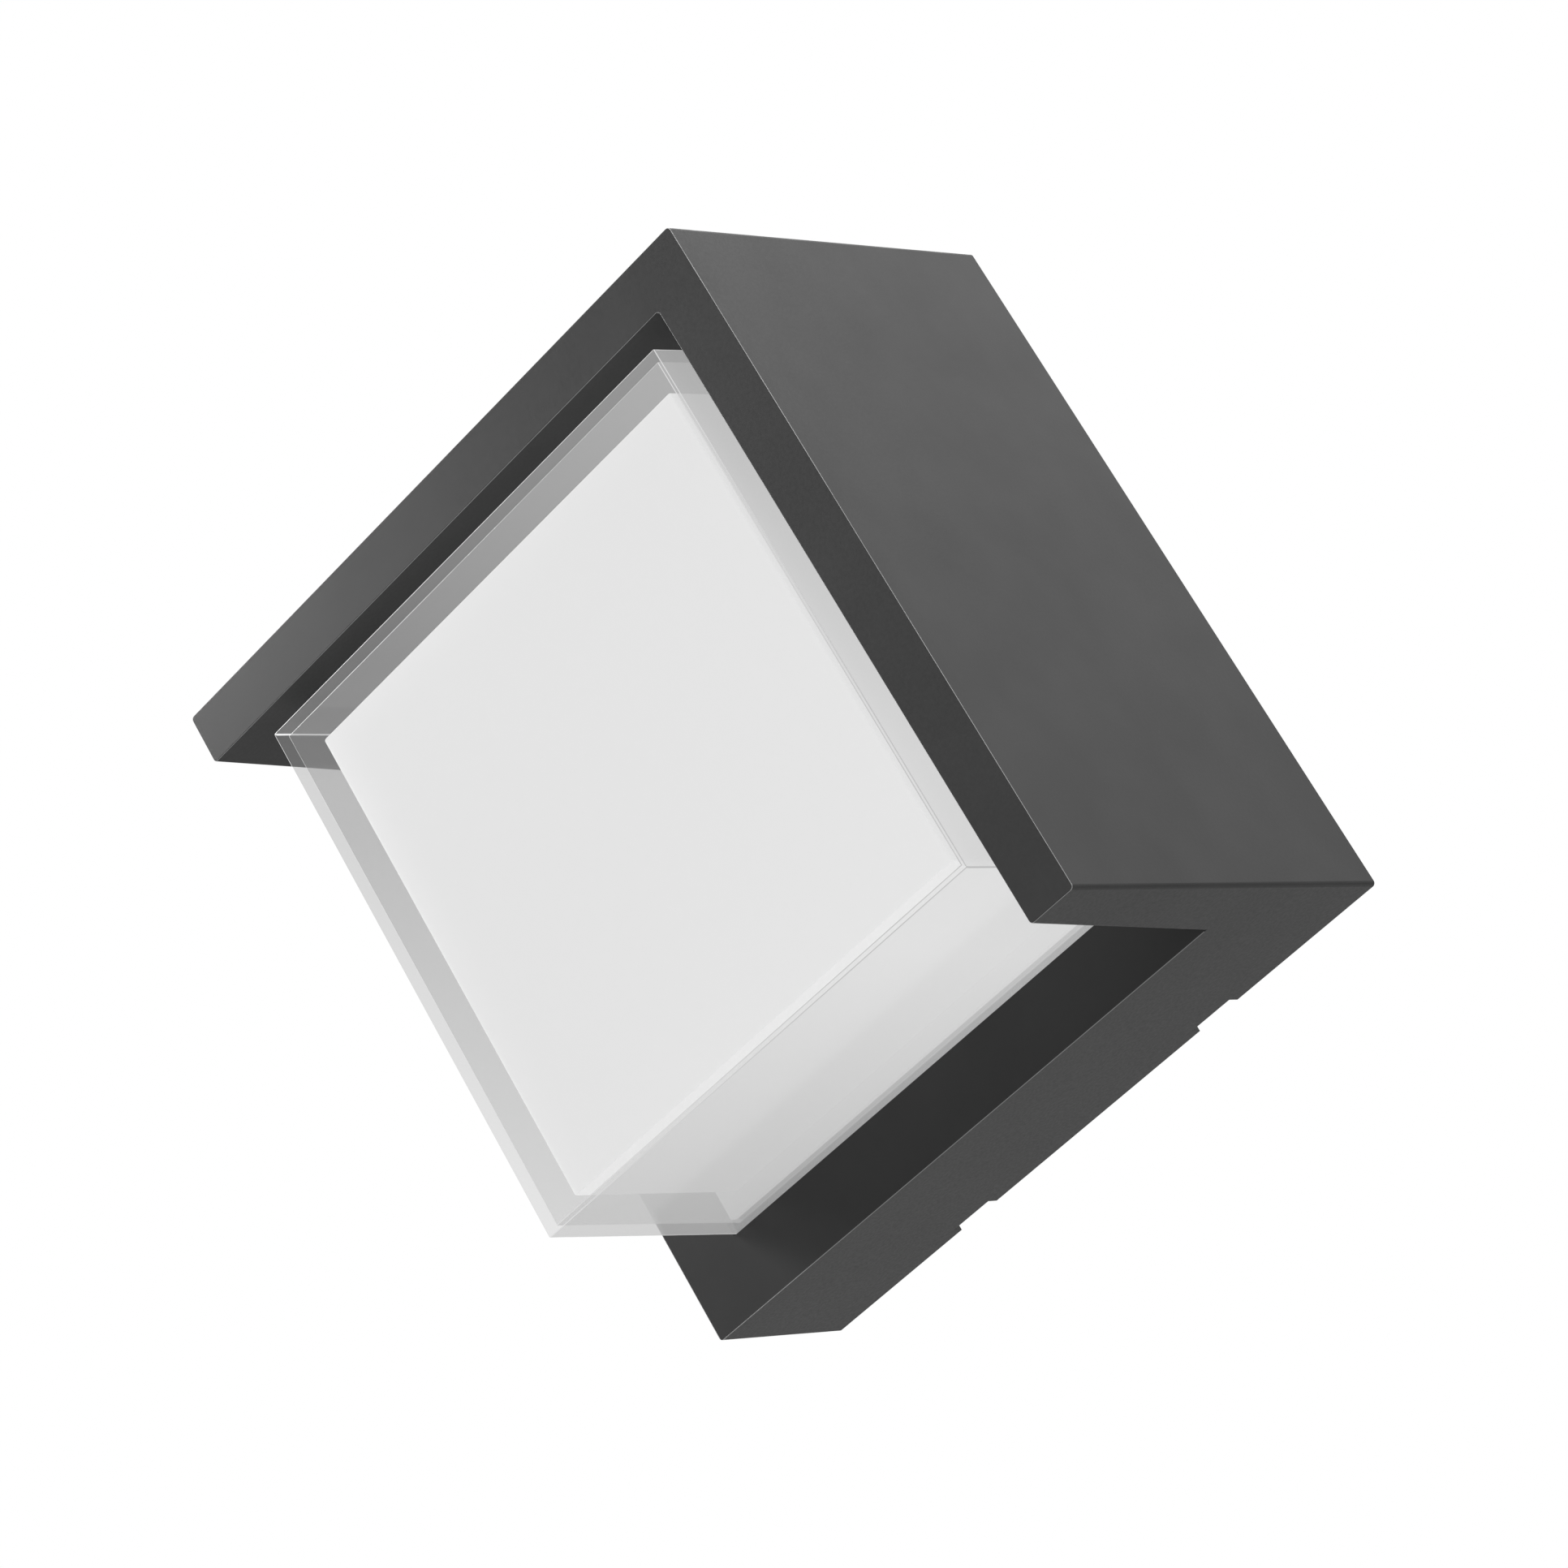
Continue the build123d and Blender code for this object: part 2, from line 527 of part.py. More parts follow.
# Three-pole terminal block
with BuildPart() as terminal_block:
    block(0, TERMINAL_Z, TERMINAL_REAR, BOARD_BOSS_TOP, TERMINAL_WIDE, TERMINAL_TALL)
    fillet(terminal_block.edges().filter_by(Axis.Y), radius=TERMINAL_EDGE_R)
    for x in POLE_X:
        with Locations((x, -WIRE_LEVEL, TERMINAL_Z)):
            Cylinder(WIRE_ENTRY_R, 2 * TERMINAL_TALL, mode=Mode.SUBTRACT)
        for z in CLAMP_Z:
            post(x, z, TERMINAL_REAR, WIRE_LEVEL, CLAMP_R + THREAD_GAP, Mode.SUBTRACT)
    for x in BLOCK_SCREW_X:
        post(x, TERMINAL_Z, TERMINAL_REAR, BLOCK_HEAD_SEAT, HEAD_R * BLOCK_SCREW_R + LOOSE, Mode.SUBTRACT)
        post(x, TERMINAL_Z, TERMINAL_REAR, BOARD_BOSS_TOP, BLOCK_SCREW_R + THREAD_GAP, Mode.SUBTRACT)
terminal_block.part.label = "terminal_block"
export_step(terminal_block.part, "parts/terminal_block.step")

# Slotted clamping screws of the terminals
with BuildPart() as clamp_screws:
    for x in POLE_X:
        for z in CLAMP_Z:
            head = TERMINAL_REAR + CLAMP_SUNK
            post(x, z, head, WIRE_LEVEL - MAINS_R - THREAD_GAP, CLAMP_R)
            block(x, z, TERMINAL_REAR, head + CLAMP_SLOT_DEEP, 3 * CLAMP_R, CLAMP_SLOT, Mode.SUBTRACT)
clamp_screws.part.label = "clamp_screws"
export_step(clamp_screws.part, "parts/clamp_screws.step")

# Screws that hold the terminal block
with BuildPart() as block_screws:
    for x in BLOCK_SCREW_X:
        screw(x, TERMINAL_Z, BLOCK_HEAD_SEAT, SCREW_STOP, BLOCK_SCREW_R)
block_screws.part.label = "block_screws"
export_step(block_screws.part, "parts/block_screws.step")

# Ring terminal and earth screw
with BuildPart() as earth_ring:
    post(EARTH_X, EARTH_Z, EARTH_TOP - RING_THICK, EARTH_TOP, RING_R)
    block(EARTH_X, EARTH_Z + NECK_AT, EARTH_TOP - RING_THICK, EARTH_TOP, NECK_WIDE, NECK_TALL)
    with Locations((EARTH_X, -EARTH_TOP + BARREL_R, EARTH_Z + BARREL_AT)):
        Cylinder(BARREL_R, BARREL_LONG)
        Cylinder(MAINS_R + THREAD_GAP, BARREL_LONG, mode=Mode.SUBTRACT)
    post(EARTH_X, EARTH_Z, EARTH_TOP - BLIND, EARTH_TOP, M4 + THREAD_GAP, Mode.SUBTRACT)
earth_ring.part.label = "earth_ring"
export_step(earth_ring.part, "parts/earth_ring.step")

with BuildPart() as earth_screw:
    screw(EARTH_X, EARTH_Z, EARTH_TOP - RING_THICK, SCREW_STOP, M4)
earth_screw.part.label = "earth_screw"
export_step(earth_screw.part, "parts/earth_screw.step")

# Mains leads from the terminal block to the driver
mains_start = TERMINAL_Z + TERMINAL_TALL / 2 - WIRE_IN
driver_end = DRIVER_HALF - DRIVER_CAP
with BuildPart() as live_lead:
    with BuildLine() as live_path:
        FilletPolyline(
            (POLE_X[2], -WIRE_LEVEL, mains_start),
            (POLE_X[2], -WIRE_LEVEL, LIVE_TURN_Z),
            (LIVE_X, -WIRE_LEVEL, LIVE_TURN_Z),
            (LIVE_X, -WIRE_LEVEL, MAINS_Z[0]),
            (driver_end, -WIRE_LEVEL, MAINS_Z[0]),
            radius=MAINS_BEND,
        )
    with BuildSketch(Plane(origin=live_path.line @ 0, z_dir=live_path.line % 0)):
        Circle(MAINS_R)
    sweep(path=live_path.line)
live_lead.part.label = "live_lead"
export_step(live_lead.part, "parts/live_lead.step")

with BuildPart() as neutral_lead:
    with BuildLine() as neutral_path:
        FilletPolyline(
            (POLE_X[1], -WIRE_LEVEL, mains_start),
            (POLE_X[1], -WIRE_LEVEL, NEUTRAL_TURN_Z),
            (NEUTRAL_X, -WIRE_LEVEL, NEUTRAL_TURN_Z),
            (NEUTRAL_X, -WIRE_LEVEL, MAINS_Z[1]),
            (driver_end, -WIRE_LEVEL, MAINS_Z[1]),
            radius=MAINS_BEND,
        )
    with BuildSketch(Plane(origin=neutral_path.line @ 0, z_dir=neutral_path.line % 0)):
        Circle(MAINS_R)
    sweep(path=neutral_path.line)
neutral_lead.part.label = "neutral_lead"
export_step(neutral_lead.part, "parts/neutral_lead.step")

# Protective earth lead from the terminal block to the ring terminal
with BuildPart() as earth_lead:
    barrel_y = -EARTH_TOP + BARREL_R
    with BuildLine() as earth_path:
        FilletPolyline(
            (POLE_X[0], -WIRE_LEVEL, mains_start),
            (POLE_X[0], -WIRE_LEVEL, EARTH_TURN_Z),
            (EARTH_X, barrel_y, EARTH_TURN_Z),
            (EARTH_X, barrel_y, EARTH_Z + BARREL_AT - 1),
            radius=MAINS_BEND,
        )
    with BuildSketch(Plane(origin=earth_path.line @ 0, z_dir=earth_path.line % 0)):
        Circle(MAINS_R)
    sweep(path=earth_path.line)
earth_lead.part.label = "earth_lead"
export_step(earth_lead.part, "parts/earth_lead.step")

# Low-voltage leads from the driver through the front plate to the board connector
plug_edge = PLUG_X - PLUG_WIDE / 2
with BuildPart() as positive_lead:
    with BuildLine() as positive_path:
        FilletPolyline(
            (-driver_end, -WIRE_LEVEL, DC_Z[0]),
            (POSITIVE_X, -WIRE_LEVEL, DC_Z[0]),
            (POSITIVE_X, -WIRE_LEVEL, -LEAD_SPACING),
            (LEAD_HOLE_X, -WIRE_LEVEL, -LEAD_SPACING),
            (LEAD_HOLE_X, -PLUG_LEVEL, -LEAD_SPACING),
            (plug_edge, -PLUG_LEVEL, -LEAD_SPACING),
            radius=DC_BEND,
        )
    with BuildSketch(Plane(origin=positive_path.line @ 0, z_dir=positive_path.line % 0)):
        Circle(DC_R)
    sweep(path=positive_path.line)
positive_lead.part.label = "positive_lead"
export_step(positive_lead.part, "parts/positive_lead.step")

with BuildPart() as negative_lead:
    with BuildLine() as negative_path:
        FilletPolyline(
            (-driver_end, -WIRE_LEVEL, DC_Z[1]),
            (NEGATIVE_X, -WIRE_LEVEL, DC_Z[1]),
            (NEGATIVE_X, -WIRE_LEVEL, LEAD_SPACING),
            (LEAD_HOLE_X, -WIRE_LEVEL, LEAD_SPACING),
            (LEAD_HOLE_X, -PLUG_LEVEL, LEAD_SPACING),
            (plug_edge, -PLUG_LEVEL, LEAD_SPACING),
            radius=DC_BEND,
        )
    with BuildSketch(Plane(origin=negative_path.line @ 0, z_dir=negative_path.line % 0)):
        Circle(DC_R)
    sweep(path=negative_path.line)
negative_lead.part.label = "negative_lead"
export_step(negative_lead.part, "parts/negative_lead.step")

# Gasket on the sealing rim
with BuildPart() as lid_gasket:
    with BuildSketch(ahead(LID_REAR + LID_THICK)):
        gasket_face = Rectangle(2 * RIM_HALF, 2 * RIM_HALF)
        chamfer(gasket_face.vertices(), RIM_CHAMFER)
        offset(amount=-GASKET_INSET, kind=Kind.INTERSECTION, mode=Mode.REPLACE)
        offset(amount=-GASKET_WIDE, kind=Kind.INTERSECTION, mode=Mode.SUBTRACT)
        with Locations(*[(sx * LID_SCREW_AT, sz * LID_SCREW_AT) for sx, sz in FOUR_WAYS]):
            Circle(BOSS_R + LOOSE, mode=Mode.SUBTRACT)
    extrude(amount=RIM_TOP - LID_REAR - LID_THICK)
lid_gasket.part.label = "lid_gasket"
export_step(lid_gasket.part, "parts/lid_gasket.step")

# Rear lid of the sealed compartment
with BuildPart() as rear_lid:
    with BuildSketch(ahead(LID_REAR)):
        RectangleRounded(2 * RIM_HALF, 2 * RIM_HALF, LID_CORNER_R)
        Circle(GLAND_THREAD + THREAD_GAP, mode=Mode.SUBTRACT)
        with Locations((VENT_X, VENT_Z)):
            Circle(VENT_R + THREAD_GAP, mode=Mode.SUBTRACT)
        with Locations(*[(sx * LID_SCREW_AT, sz * LID_SCREW_AT) for sx, sz in FOUR_WAYS]):
            Circle(CLEAR_M3, mode=Mode.SUBTRACT)
    extrude(amount=LID_THICK)
rear_lid.part.label = "rear_lid"
export_step(rear_lid.part, "parts/rear_lid.step")

with BuildPart() as lid_screws:
    for sx, sz in FOUR_WAYS:
        screw(sx * LID_SCREW_AT, sz * LID_SCREW_AT, LID_REAR, LID_REAR + LID_SCREW_LONG, M3)
lid_screws.part.label = "lid_screws"
export_step(lid_screws.part, "parts/lid_screws.step")

# Pressure-compensating vent in the lid
with BuildPart() as vent_plug:
    stem_end = LID_REAR + LID_THICK + VENT_STEM
    post(VENT_X, VENT_Z, LID_REAR - VENT_CAP, LID_REAR, VENT_R + VENT_CAP)
    fillet(vent_plug.faces().sort_by(Axis.Y)[-1].edges(), radius=VENT_CAP_EDGE_R)
    post(VENT_X, VENT_Z, LID_REAR, stem_end, VENT_R)
    post(VENT_X, VENT_Z, LID_REAR - VENT_SKIN, stem_end, VENT_R / 2, Mode.SUBTRACT)
vent_plug.part.label = "vent_plug"
export_step(vent_plug.part, "parts/vent_plug.step")

# Cable gland in the lid, on the axis of the hole in the bracket
with BuildPart() as gland_body:
    with BuildSketch(ahead(GLAND_FLANGE)):
        RegularPolygon(GLAND_FLATS / 2, 6, major_radius=False)
    extrude(amount=LID_REAR - GLAND_FLANGE)
    post(0, 0, GLAND_MOUTH, GLAND_TIP, GLAND_THREAD)
    post(0, 0, GLAND_MOUTH, GLAND_TIP, GLAND_BORE, Mode.SUBTRACT)
    post(0, 0, GLAND_MOUTH, GLAND_SEAL_SEAT, GLAND_SEAL_R + LOOSE, Mode.SUBTRACT)
gland_body.part.label = "gland_body"
export_step(gland_body.part, "parts/gland_body.step")

with BuildPart() as gland_nut:
    with BuildSketch(ahead(LID_REAR + LID_THICK)):
        RegularPolygon(GLAND_FLATS / 2, 6, major_radius=False)
        Circle(GLAND_THREAD + THREAD_GAP, mode=Mode.SUBTRACT)
    extrude(amount=NUT_THICK)
gland_nut.part.label = "gland_nut"
export_step(gland_nut.part, "parts/gland_nut.step")

with BuildPart() as gland_seal:
    post(0, 0, CAP_REAR + CAP_ROOF, GLAND_SEAL_SEAT, GLAND_SEAL_R)
    post(0, 0, CAP_REAR + CAP_ROOF, GLAND_SEAL_SEAT, GLAND_BORE, Mode.SUBTRACT)
gland_seal.part.label = "gland_seal"
export_step(gland_seal.part, "parts/gland_seal.step")

with BuildPart() as gland_cap:
    post(0, 0, CAP_REAR, GLAND_FLANGE - CAP_GAP, CAP_R)
    fillet(gland_cap.faces().sort_by(Axis.Y)[-1].edges(), radius=CAP_EDGE_R)
    for turn in range(CAP_GRIPS):
        angle = turn * 2 * pi / CAP_GRIPS
        grip_x = CAP_R * cos(angle)
        grip_z = CAP_R * sin(angle)
        block(grip_x, grip_z, CAP_GRIP_REAR, GLAND_FLANGE, CAP_GRIP, CAP_GRIP, Mode.SUBTRACT)
    post(0, 0, CAP_REAR + CAP_ROOF, GLAND_FLANGE, GLAND_THREAD + THREAD_GAP, Mode.SUBTRACT)
    post(0, 0, CAP_REAR, GLAND_FLANGE, GLAND_BORE, Mode.SUBTRACT)
gland_cap.part.label = "gland_cap"
export_step(gland_cap.part, "parts/gland_cap.step")

# Pressed bracket that stays on the wall
with BuildPart() as wall_bracket:
    with BuildSketch(Plane.XZ):
        Rectangle(2 * BRACKET_REACH, BRACKET_ARM)
        Rectangle(BRACKET_ARM, 2 * BRACKET_REACH)
        Circle(BRACKET_HOLE_R, mode=Mode.SUBTRACT)
        with Locations((-SLOT_X, 0), (SLOT_X, 0)):
            SlotOverall(SLOT_LONG, SLOT_WIDE, mode=Mode.SUBTRACT)
        with Locations((0, -SPARE_HOLE_Z), (0, SPARE_HOLE_Z)):
            Circle(SPARE_HOLE_R, mode=Mode.SUBTRACT)
    extrude(amount=BRACKET_THICK)
    corners = wall_bracket.edges().filter_by(runs_front_to_back).filter_by(GeomType.LINE)
    fillet(corners, radius=BRACKET_CORNER_R)
    for quarter in range(4):
        with BuildSketch(spoke(quarter)):
            with Locations((BRACKET_REACH - BRACKET_THICK / 2, TAB_END / 2)):
                Rectangle(BRACKET_THICK, TAB_END)
        extrude(amount=TAB_WIDE / 2, both=True)
        with BuildSketch(spoke_end(quarter, BRACKET_REACH - 2 * BRACKET_THICK)):
            Circle(RIVET_R + THREAD_GAP)
        extrude(amount=3 * BRACKET_THICK, mode=Mode.SUBTRACT)
wall_bracket.part.label = "wall_bracket"
export_step(wall_bracket.part, "parts/wall_bracket.step")

# Bowed spring clips on the bracket tabs, gripping the inside of the rim
with BuildPart() as spring_clips:
    for quarter in range(4):
        with BuildSketch(spoke(quarter)):
            with BuildLine():
                FilletPolyline(*CLIP_LINE, radius=CLIP_BEND)
            trace(line_width=CLIP_THICK)
        extrude(amount=CLIP_WIDE / 2, both=True)
        with BuildSketch(spoke_end(quarter, BRACKET_REACH - CLIP_THICK)):
            Circle(RIVET_R + THREAD_GAP)
        extrude(amount=3 * CLIP_THICK, mode=Mode.SUBTRACT)
spring_clips.part.label = "spring_clips"
export_step(spring_clips.part, "parts/spring_clips.step")

# Rivets that hold the clips on the tabs
with BuildPart() as clip_rivets:
    stack = BRACKET_THICK + CLIP_THICK
    for quarter in range(4):
        with BuildSketch(spoke_end(quarter, BRACKET_REACH - BRACKET_THICK)):
            Circle(RIVET_R)
        extrude(amount=stack)
        with BuildSketch(spoke_end(quarter, BRACKET_REACH - BRACKET_THICK - RIVET_HEAD)):
            Circle(RIVET_HEAD_R)
        extrude(amount=RIVET_HEAD)
        with BuildSketch(spoke_end(quarter, BRACKET_REACH + CLIP_THICK)):
            Circle(RIVET_HEAD_R)
        extrude(amount=RIVET_HEAD)
clip_rivets.part.label = "clip_rivets"
export_step(clip_rivets.part, "parts/clip_rivets.step")
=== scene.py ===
import json
import math

import bpy
from mathutils import Matrix, Vector


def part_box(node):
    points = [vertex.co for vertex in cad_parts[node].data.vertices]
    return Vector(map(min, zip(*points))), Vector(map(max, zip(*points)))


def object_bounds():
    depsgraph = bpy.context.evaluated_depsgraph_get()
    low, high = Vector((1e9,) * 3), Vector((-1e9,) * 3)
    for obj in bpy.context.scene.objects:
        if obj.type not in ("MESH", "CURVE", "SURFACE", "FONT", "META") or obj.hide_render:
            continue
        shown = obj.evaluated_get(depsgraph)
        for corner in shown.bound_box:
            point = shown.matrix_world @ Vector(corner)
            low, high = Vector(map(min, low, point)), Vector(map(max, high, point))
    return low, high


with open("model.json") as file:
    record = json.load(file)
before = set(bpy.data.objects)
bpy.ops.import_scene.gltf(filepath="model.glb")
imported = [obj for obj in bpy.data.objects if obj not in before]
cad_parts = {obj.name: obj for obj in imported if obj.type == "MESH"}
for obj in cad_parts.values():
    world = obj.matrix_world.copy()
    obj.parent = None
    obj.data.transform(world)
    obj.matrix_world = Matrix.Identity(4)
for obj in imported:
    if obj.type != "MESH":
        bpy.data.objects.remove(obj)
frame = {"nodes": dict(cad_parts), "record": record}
CAD_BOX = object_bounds()
NODES = frame["nodes"]

WHITE = (1.0, 1.0, 1.0, 1.0)
MICRON = 1e-6
# most of a noise texture's values lie between these
NOISE_LOW = 0.3
NOISE_HIGH = 0.7

# ---------------------------------------------------------------- camera
CAM_TARGET = Vector((0.0045, -0.0440, -0.0002))
CAM_DISTANCE = 0.8936
CAM_AZIMUTH = math.radians(30.966)
CAM_ELEVATION = math.radians(-21.127)
CAM_ROLL = math.radians(30.635)
CAM_SENSOR = 36.0
CAM_LENS = 109.93
CAM_NEAR = 0.01
CAM_FAR = 50.0


def make_camera():
    """Camera under and to the right of the lantern, rolled as the lantern is shown."""
    away = Vector(
        (
            math.sin(CAM_AZIMUTH) * math.cos(CAM_ELEVATION),
            -math.cos(CAM_AZIMUTH) * math.cos(CAM_ELEVATION),
            math.sin(CAM_ELEVATION),
        )
    )
    level = Vector((0, 0, 1)).cross(away).normalized()
    upright = away.cross(level)
    up = upright * math.cos(CAM_ROLL) + level * math.sin(CAM_ROLL)
    right = up.cross(away)
    data = bpy.data.cameras.new("camera")
    data.sensor_width = CAM_SENSOR
    data.lens = CAM_LENS
    data.clip_start = CAM_NEAR
    data.clip_end = CAM_FAR
    camera = bpy.data.objects.new("camera", data)
    bpy.context.scene.collection.objects.link(camera)
    turn = Matrix((right, up, away)).transposed().to_4x4()
    camera.matrix_world = Matrix.Translation(CAM_TARGET + away * CAM_DISTANCE) @ turn
    bpy.context.scene.camera = camera


# ---------------------------------------------------------------- node helpers
def new_material(name):
    """Empty node material: (material, node tree, Principled shader)."""
    material = bpy.data.materials.new(name)
    material.use_nodes = True
    tree = material.node_tree
    return material, tree, tree.nodes["Principled BSDF"]


def coords(tree):
    """Object coordinates, in metres, because every node's object sits at the origin."""
    return tree.nodes.new("ShaderNodeTexCoord").outputs["Object"]


def feed(tree, source, socket):
    """Link an output to a socket, or set the socket to a number."""
    if isinstance(source, float):
        socket.default_value = source
    else:
        tree.links.new(source, socket)


def noise(tree, per_metre, detail=3.0, rough=0.5, vector=None):
    """Noise value at a real scale."""
    node = tree.nodes.new("ShaderNodeTexNoise")
    node.inputs["Scale"].default_value = per_metre
    node.inputs["Detail"].default_value = detail
    node.inputs["Roughness"].default_value = rough
    tree.links.new(vector if vector is not None else coords(tree), node.inputs["Vector"])
    return node.outputs["Fac"]


def remap(tree, value, low, high, start=NOISE_LOW, stop=NOISE_HIGH):
    """Value between start and stop, taken to low and high."""
    node = tree.nodes.new("ShaderNodeMapRange")
    node.inputs["From Min"].default_value = start
    node.inputs["From Max"].default_value = stop
    node.inputs["To Min"].default_value = low
    node.inputs["To Max"].default_value = high
    tree.links.new(value, node.inputs["Value"])
    return node.outputs["Result"]


def calculate(tree, operation, first, second=0.0):
    """Math node on two outputs or numbers."""
    node = tree.nodes.new("ShaderNodeMath")
    node.operation = operation
    feed(tree, first, node.inputs[0])
    feed(tree, second, node.inputs[1])
    return node.outputs[0]


def vector_op(tree, operation, vector, second=(0.0, 0.0, 0.0)):
    """Vector math node on a vector output and a constant vector."""
    node = tree.nodes.new("ShaderNodeVectorMath")
    node.operation = operation
    node.inputs[1].default_value = second
    tree.links.new(vector, node.inputs[0])
    return node


def split(tree, vector):
    """The X, Y and Z outputs of a vector."""
    node = tree.nodes.new("ShaderNodeSeparateXYZ")
    tree.links.new(vector, node.inputs[0])
    return node.outputs


def blend_numbers(tree, factor, first, second):
    """Number between first and second by factor."""
    node = tree.nodes.new("ShaderNodeMix")
    node.data_type = "FLOAT"
    tree.links.new(factor, node.inputs["Factor"])
    feed(tree, first, node.inputs["A"])
    feed(tree, second, node.inputs["B"])
    return node.outputs["Result"]


def two_tone(tree, value, dark, light):
    """Colour between dark and light by value; dark may be a colour or an output."""
    node = tree.nodes.new("ShaderNodeMix")
    node.data_type = "RGBA"
    if isinstance(dark, tuple):
        node.inputs["A"].default_value = (*dark, 1.0)
    else:
        tree.links.new(dark, node.inputs["A"])
    node.inputs["B"].default_value = (*light, 1.0)
    tree.links.new(value, node.inputs["Factor"])
    return node.outputs["Result"]


def clouded(tree, shader, dark, light, per_metre, detail):
    """Base colour that drifts slowly between dark and light."""
    cloud = remap(tree, noise(tree, per_metre, detail), 0.0, 1.0)
    tree.links.new(two_tone(tree, cloud, dark, light), shader.inputs["Base Color"])


def uneven_gloss(tree, shader, value, rough, spread):
    """Roughness that follows value, from below to above the given one."""
    below, above = spread
    varied = remap(tree, value, rough - below, rough + above)
    tree.links.new(varied, shader.inputs["Roughness"])


def bump(tree, shader, height, depth):
    """Relief of the given depth in metres on the shader's normal."""
    node = tree.nodes.new("ShaderNodeBump")
    node.inputs["Distance"].default_value = depth
    tree.links.new(height, node.inputs["Height"])
    tree.links.new(node.outputs["Normal"], shader.inputs["Normal"])


def glow(shader, strength=None):
    """White emission; without a strength, its socket is left for a link."""
    shader.inputs["Emission Color"].default_value = WHITE
    if strength is not None:
        shader.inputs["Emission Strength"].default_value = strength


def scaled(color, factor):
    """Colour made lighter or darker, kept within one."""
    return tuple(min(1.0, channel * factor) for channel in color)


def grey(level):
    return (level, level, level)


# ---------------------------------------------------------------- edges of the shapes, where painted highlight lines go
# Front plate of the rear box: its plane, half its side, and the inner faces of the wings, which place
# the painted highlight lines along the plate's free edges
DRAFT = math.radians(1.67)
PLATE_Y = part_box("opal_diffuser")[1].y
PLATE_HALF = CAD_BOX[1][0] + math.tan(DRAFT) * PLATE_Y
WING_FACE = 0.060
# width of a painted highlight line along the plate's free edges
EDGE_HIGHLIGHT_WIDTH = 0.00014


def face_normal(tree):
    """The true normal of the face, without shading or relief."""
    return tree.nodes.new("ShaderNodeNewGeometry").outputs["True Normal"]


def rounded_edge(tree):
    """Zero on faces square to an axis, rising on the small radii between them."""
    x, y, z = split(tree, vector_op(tree, "ABSOLUTE", face_normal(tree)).outputs["Vector"])
    largest = calculate(tree, "MAXIMUM", calculate(tree, "MAXIMUM", x, y), z)
    return calculate(tree, "SUBTRACT", 1.0, largest)


def front_edge_highlight(tree):
    """Mask for painted highlight: one on the small radii round the front faces, zero on fronts and on
    sides.
    """
    along = split(tree, face_normal(tree))["Y"]
    square = calculate(tree, "MULTIPLY", along, along)
    rest = calculate(tree, "SUBTRACT", 1.0, square)
    product = calculate(tree, "MULTIPLY", square, rest)
    # the product peaks at a quarter, for a normal at 45 degrees
    return calculate(tree, "MULTIPLY", product, 4.0)


def plate_edge_highlight(tree):
    """Mask for a painted highlight line: one within a hair's width of the plate's two free edges, zero
    elsewhere.
    """
    x, y, z = split(tree, coords(tree))
    off_plate = calculate(tree, "ABSOLUTE", calculate(tree, "SUBTRACT", y, PLATE_Y))
    lowest = calculate(tree, "MINIMUM", x, z)
    highest = calculate(tree, "MAXIMUM", x, z)
    rim = EDGE_HIGHLIGHT_WIDTH - PLATE_HALF
    near = remap(tree, off_plate, 1.0, 0.0, EDGE_HIGHLIGHT_WIDTH / 2, EDGE_HIGHLIGHT_WIDTH)
    at_rim = remap(tree, lowest, 1.0, 0.0, rim - EDGE_HIGHLIGHT_WIDTH / 2, rim)
    free = remap(tree, highest, 1.0, 0.0, WING_FACE - EDGE_HIGHLIGHT_WIDTH, WING_FACE)
    return calculate(tree, "MULTIPLY", calculate(tree, "MULTIPLY", near, at_rim), free)


# ---------------------------------------------------------------- materials
# Each maker returns the slot's name and its material.
COAT_MOTTLE = 0.05
COAT_ROUGH_SPREAD = (0.05, 0.07)
# painted highlight on the coat's edge radii and plate edges: how many times lighter, and the edge turn
# it rises over
EDGE_HIGHLIGHT_GAIN = 6.0
EDGE_HIGHLIGHT_RAMP = (0.35, 0.7)
PLASTIC_ROUGH_SPREAD = (0.04, 0.06)
METAL_DARK = 0.86
METAL_LIGHT = 1.08
METAL_ROUGH_SPREAD = (0.08, 0.1)
POLYCARBONATE_IOR = 1.58
# clear film: where it starts and stops thickening as the surface turns from the eye
FILM_TURN = (0.28, 0.56)
# opacity on the edge radii, which carry a painted highlight
FILM_EDGE_COVER = 0.95
# how far a face has to turn from the axes to count as a small edge radius
FILM_EDGE_RAMP = (0.01, 0.03)
FILM_EDGE_HIGHLIGHT_RAMP = (0.01, 0.04)
# painted light: emission in the film standing in for studio light on the cover, brighter towards one
# side on the faces, and painted highlight on the edge radii: (low, high, start, stop) along a direction,
# in metres
FILM_PAINTED_LIGHT_WAY = (1.0, 0.0, -1.0)
FILM_FACE_PAINTED_LIGHT = (0.22, 0.62, -0.09, 0.09)
FILM_EDGE_PAINTED_HIGHLIGHT = (0.95, 0.45, -0.08, 0.08)
OPAL_DEPTH = 0.004


